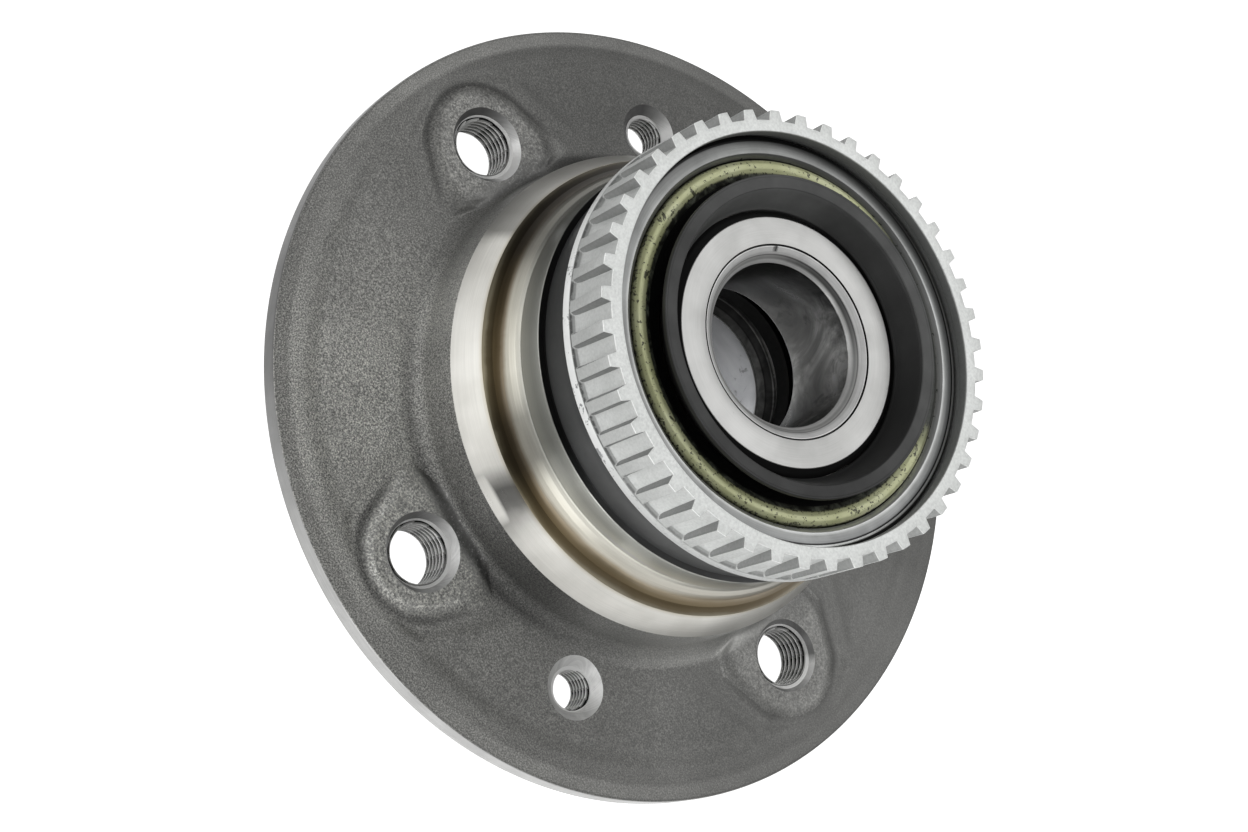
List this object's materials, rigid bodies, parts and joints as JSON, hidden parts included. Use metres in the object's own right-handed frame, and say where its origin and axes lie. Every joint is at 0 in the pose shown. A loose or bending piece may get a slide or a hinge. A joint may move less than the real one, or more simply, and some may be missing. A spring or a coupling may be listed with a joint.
{
  "type": "wheel hub bearing",
  "caption": "Flanged wheel hub turning on a double-row ball bearing, with a toothed tone ring for wheel-speed sensing and sealed inner rings that take a fixed spindle.",
  "frame": {"origin": "centre of the wheel-bolt circle, on the wheel-side mounting face of the flange", "axes": "+Z along the axle, away from the wheel towards the tone ring; +X through one wheel-bolt hole; +Y through the next one"},
  "size_m": [0.143, 0.143, 0.0695],
  "materials": {
    "forged_steel": "forged and shot-blasted, with ground seats",
    "tone_ring_steel": "matte pressed steel",
    "passivated_steel": "yellow passivated sheet",
    "seal_rubber": "matte moulded",
    "lip_rubber": "matte moulded",
    "bearing_steel": "fine ground",
    "clip_plastic": "moulded",
    "slinger_steel": "pressed sheet",
    "cage_plastic": "moulded polyamide",
    "ball_steel": "polished"
  },
  "bodies": {
    "inner_race": {"inner_ring_inboard": "bearing_steel", "inner_ring_outboard": "bearing_steel", "ring_clip": "clip_plastic", "inboard_slinger": "slinger_steel", "outboard_slinger": "slinger_steel", "inboard_v_lip": "lip_rubber"},
    "hub": {"hub_flange": "forged_steel", "tone_ring": "tone_ring_steel", "inboard_seal_case": "passivated_steel", "inboard_seal_lip": "seal_rubber", "outboard_seal_case": "passivated_steel", "outboard_seal_lip": "seal_rubber"},
    "cage_inboard": {"ball_cage_inboard": "cage_plastic", "ball_inboard_01": "ball_steel", "ball_inboard_02": "ball_steel", "ball_inboard_03": "ball_steel", "ball_inboard_04": "ball_steel", "ball_inboard_05": "ball_steel", "ball_inboard_06": "ball_steel", "ball_inboard_07": "ball_steel", "ball_inboard_08": "ball_steel", "ball_inboard_09": "ball_steel", "ball_inboard_10": "ball_steel", "ball_inboard_11": "ball_steel", "ball_inboard_12": "ball_steel", "ball_inboard_13": "ball_steel"},
    "cage_outboard": {"ball_cage_outboard": "cage_plastic", "ball_outboard_01": "ball_steel", "ball_outboard_02": "ball_steel", "ball_outboard_03": "ball_steel", "ball_outboard_04": "ball_steel", "ball_outboard_05": "ball_steel", "ball_outboard_06": "ball_steel", "ball_outboard_07": "ball_steel", "ball_outboard_08": "ball_steel", "ball_outboard_09": "ball_steel", "ball_outboard_10": "ball_steel", "ball_outboard_11": "ball_steel", "ball_outboard_12": "ball_steel", "ball_outboard_13": "ball_steel"}
  },
  "joints": [
    {"name": "hub_spin", "type": "hinge", "parent": "inner_race", "child": "hub", "pos_m": [0, 0, 0.032], "axis": [0, 0, 1], "continuous": true},
    {"name": "cage_inboard_spin", "type": "hinge", "parent": "inner_race", "child": "cage_inboard", "pos_m": [0, 0, 0.042], "axis": [0, 0, 1], "continuous": true},
    {"name": "cage_outboard_spin", "type": "hinge", "parent": "inner_race", "child": "cage_outboard", "pos_m": [0, 0, 0.022], "axis": [0, 0, 1], "continuous": true}
  ],
  "couplings": [
    {"joint": "cage_inboard_spin", "follows": "hub_spin", "ratio": 0.575},
    {"joint": "cage_outboard_spin", "follows": "hub_spin", "ratio": 0.575}
  ]
}
